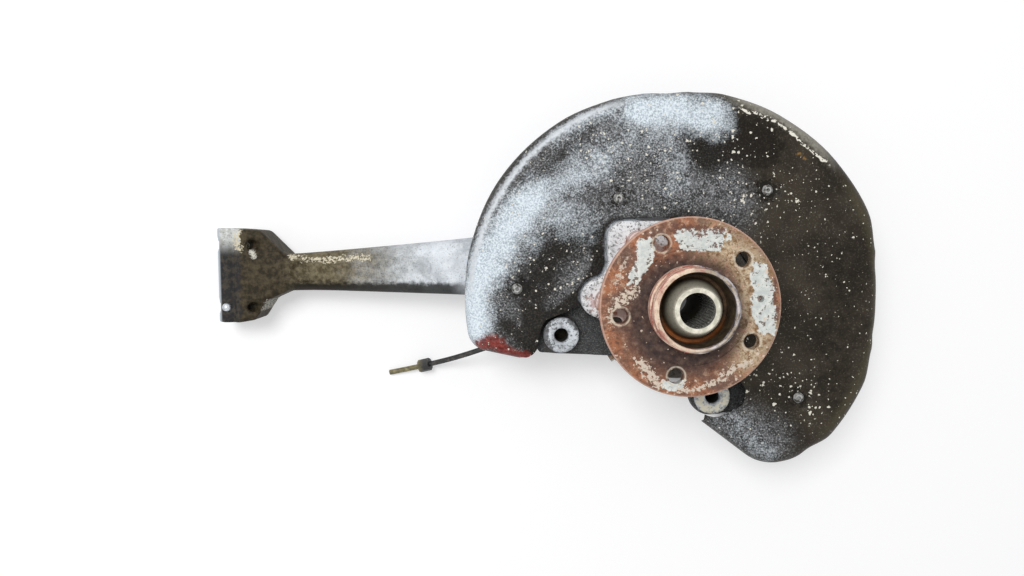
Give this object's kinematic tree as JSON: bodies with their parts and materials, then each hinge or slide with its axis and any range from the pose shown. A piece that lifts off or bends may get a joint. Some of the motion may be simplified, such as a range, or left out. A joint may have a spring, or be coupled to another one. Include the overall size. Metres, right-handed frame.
{
  "type": "steering knuckle",
  "caption": "Front steering knuckle with a long upper neck and clamp head, carrying a flanged wheel hub on its bearing, a pressed dust shield and a cut-off speed sensor lead.",
  "frame": {"origin": "centre of the wheel flange's outer face, on the wheel's axis", "axes": "+Z along the wheel's axis, outboard; the part lies on its inboard side, so +Z is also up; +X down along the car, away from the long neck; +Y across the part, towards the steering arm"},
  "size_m": [0.593, 0.3272, 0.165],
  "materials": {
    "cast_aluminium": "worn cast aluminium, dark with road dirt",
    "rusty_steel": "surface rust with pale flaking patches",
    "bearing_steel": "steel with a film of rust",
    "ground_steel": "ground steel",
    "cage_plastic": "moulded plastic",
    "ball_steel": "polished steel",
    "seal_rubber": "rubber",
    "encoder_rubber": "magnetised rubber on steel",
    "painted_sheet": "worn black coat with pale specks and haze",
    "rivet_alloy": "dull rivet alloy",
    "sensor_plastic": "black moulding",
    "bolt_steel": "zinc-plated steel, dulled",
    "lead_rubber": "black cable jacket",
    "plug_steel": "bright steel"
  },
  "bodies": {
    "carrier": {"knuckle": "cast_aluminium", "bearing_outer_ring": "bearing_steel", "outboard_seal": "seal_rubber", "inboard_seal": "seal_rubber", "dust_shield": "painted_sheet", "bearing_bolt_1": "bolt_steel", "bearing_bolt_2": "bolt_steel", "bearing_bolt_3": "bolt_steel", "bearing_bolt_4": "bolt_steel", "shield_rivet_1": "rivet_alloy", "shield_rivet_2": "rivet_alloy", "shield_rivet_3": "rivet_alloy", "shield_rivet_4": "rivet_alloy", "speed_sensor": "sensor_plastic", "sensor_screw": "bolt_steel", "sensor_lead": "lead_rubber", "lead_grommet": "lead_rubber", "head_plug": "plug_steel"},
    "hub": {"wheel_hub": "rusty_steel", "bearing_inner_ring": "ground_steel", "encoder_ring": "encoder_rubber"},
    "ball_train": {"outboard_cage": "cage_plastic", "inboard_cage": "cage_plastic", "outboard_balls": "ball_steel", "inboard_balls": "ball_steel"}
  },
  "joints": [
    {"name": "hub_spin", "type": "hinge", "parent": "carrier", "child": "hub", "pos_m": [0, 0, -0.048], "axis": [0, 0, 1], "continuous": true},
    {"name": "ball_orbit", "type": "hinge", "parent": "carrier", "child": "ball_train", "pos_m": [0, 0, -0.048], "axis": [0, 0, 1], "continuous": true}
  ],
  "couplings": [
    {"joint": "ball_orbit", "follows": "hub_spin", "ratio": 0.4108}
  ]
}
